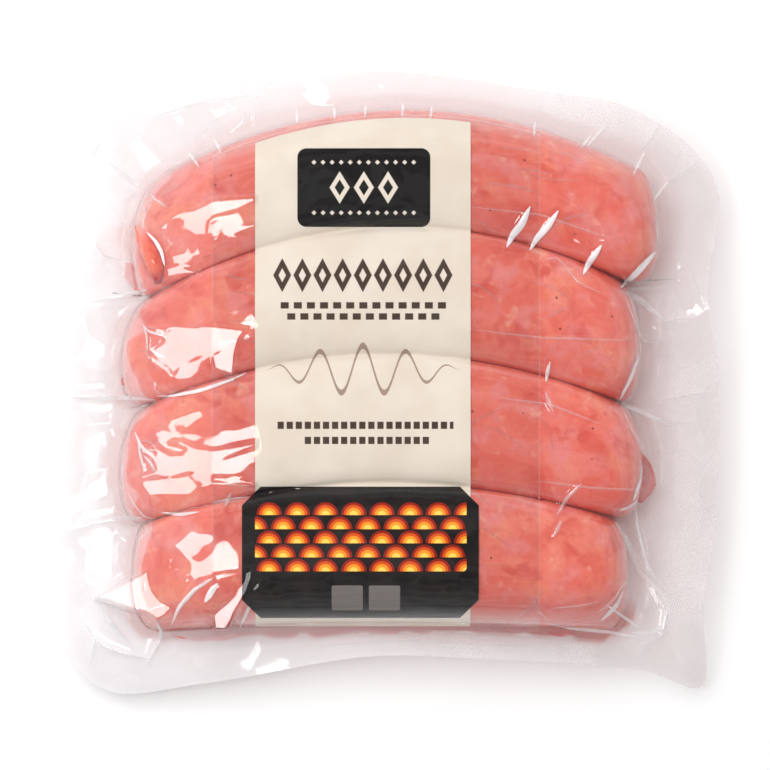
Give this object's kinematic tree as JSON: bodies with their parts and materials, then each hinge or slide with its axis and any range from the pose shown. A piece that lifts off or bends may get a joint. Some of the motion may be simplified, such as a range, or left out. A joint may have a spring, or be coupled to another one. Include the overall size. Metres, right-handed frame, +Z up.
{
  "type": "vacuum pack of sausages",
  "caption": "Clear vacuum pack of thick fresh sausages lying side by side, with a wavy sealed flange and a clear printed label, handled as one piece.",
  "frame": {"origin": "on the surface that the pack lies on, at the centre of the pack's outline seen from above", "axes": "+X along the sausages, to the right of the label; +Y towards the top of the label; +Z up, out of the label"},
  "size_m": [0.1796, 0.1684, 0.0318],
  "materials": {
    "film_and_sausages": "clear glossy film tight over salmon-pink sausages",
    "label": "clear glossy sticker with a cream and dark print"
  },
  "bodies": {
    "root": {"pouch": "film_and_sausages", "label": "label"}
  },
  "joints": []
}
